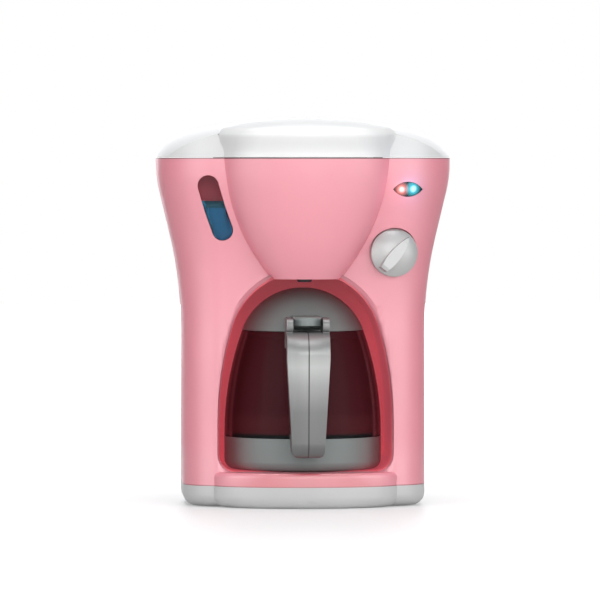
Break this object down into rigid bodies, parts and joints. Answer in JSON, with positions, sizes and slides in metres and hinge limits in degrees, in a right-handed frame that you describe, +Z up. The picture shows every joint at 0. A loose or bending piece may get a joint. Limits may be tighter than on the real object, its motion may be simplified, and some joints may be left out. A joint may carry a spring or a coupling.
{
  "type": "toy coffee maker",
  "caption": "Toy drip coffee maker with a slide-out carafe, hinged lids, a turning knob, a water gauge window and lamps.",
  "frame": {"origin": "on the underside of the base tray, midway between the two sides and midway between the body's flat front face and its back", "axes": "+Z up, front towards -Y, +X to the right when looking at the front"},
  "size_m": [0.1548, 0.1276, 0.2045],
  "materials": {
    "pink_plastic": "satin moulded",
    "white_plastic": "glossy moulded",
    "coral_plastic": "satin moulded",
    "smoked_plastic": "transparent smoked",
    "grey_plastic": "satin moulded",
    "silver_plastic": "silver-grey satin",
    "pearl_plastic": "pearl silver",
    "dark_plastic": "matte moulded",
    "maroon_plastic": "matte moulded",
    "clear_plastic": "clear polished",
    "blue_liquid": "tinted liquid",
    "reflector_plastic": "metallised",
    "lamp_red": "clear tinted",
    "lamp_blue": "clear tinted",
    "board_green": "solder mask",
    "speaker_black": "matte",
    "cell_wrap": "printed-free foil",
    "steel": "zinc plated"
  },
  "bodies": {
    "body": {"base_tray": "white_plastic", "front_shell": "pink_plastic", "back_shell": "pink_plastic", "niche_liner": "coral_plastic", "top_deck": "white_plastic", "lid_hinge_pins": "steel", "filter_basket": "dark_plastic", "drip_nozzle": "dark_plastic", "gauge_lens": "clear_plastic", "gauge_housing": "maroon_plastic", "gauge_water": "blue_liquid", "lamp_lens": "clear_plastic", "lamp_reflector": "reflector_plastic", "lamp_red": "lamp_red", "lamp_blue": "lamp_blue", "lamp_board": "board_green", "rotary_switch": "dark_plastic", "circuit_board": "board_green", "board_screws": "steel", "speaker": "speaker_black", "speaker_retainer": "white_plastic", "battery_box": "dark_plastic", "battery_cells": "cell_wrap", "battery_contacts": "steel", "battery_springs": "steel", "battery_door": "white_plastic", "battery_door_screw": "steel", "base_screws": "steel", "shell_screws": "steel", "deck_screws": "steel"},
    "knob": {"knob": "pearl_plastic", "knob_shaft": "steel"},
    "top_lid": {"top_lid": "white_plastic"},
    "carafe": {"carafe_jar": "smoked_plastic", "carafe_base": "grey_plastic", "carafe_lid_pin": "steel", "handle_left": "silver_plastic", "handle_right": "silver_plastic", "handle_screws": "steel"},
    "carafe_lid": {"carafe_lid": "grey_plastic"}
  },
  "joints": [
    {"name": "knob_turn", "type": "hinge", "parent": "body", "child": "knob", "pos_m": [0.0461, -0.04575, 0.1337], "axis": [0.1736, -0.9848, 0], "range_deg": [0, 90]},
    {"name": "top_lid_hinge", "type": "hinge", "parent": "body", "child": "top_lid", "pos_m": [0, 0.0455, 0.1837], "axis": [-1, 0, 0], "range_deg": [0, 75]},
    {"name": "carafe_slide", "type": "slide", "parent": "body", "child": "carafe", "axis": [0, -1, 0], "range_m": [0, 0.115]},
    {"name": "carafe_lid_hinge", "type": "hinge", "parent": "carafe", "child": "carafe_lid", "pos_m": [0, -0.0496, 0.096], "axis": [1, 0, 0], "range_deg": [0, 7]}
  ]
}
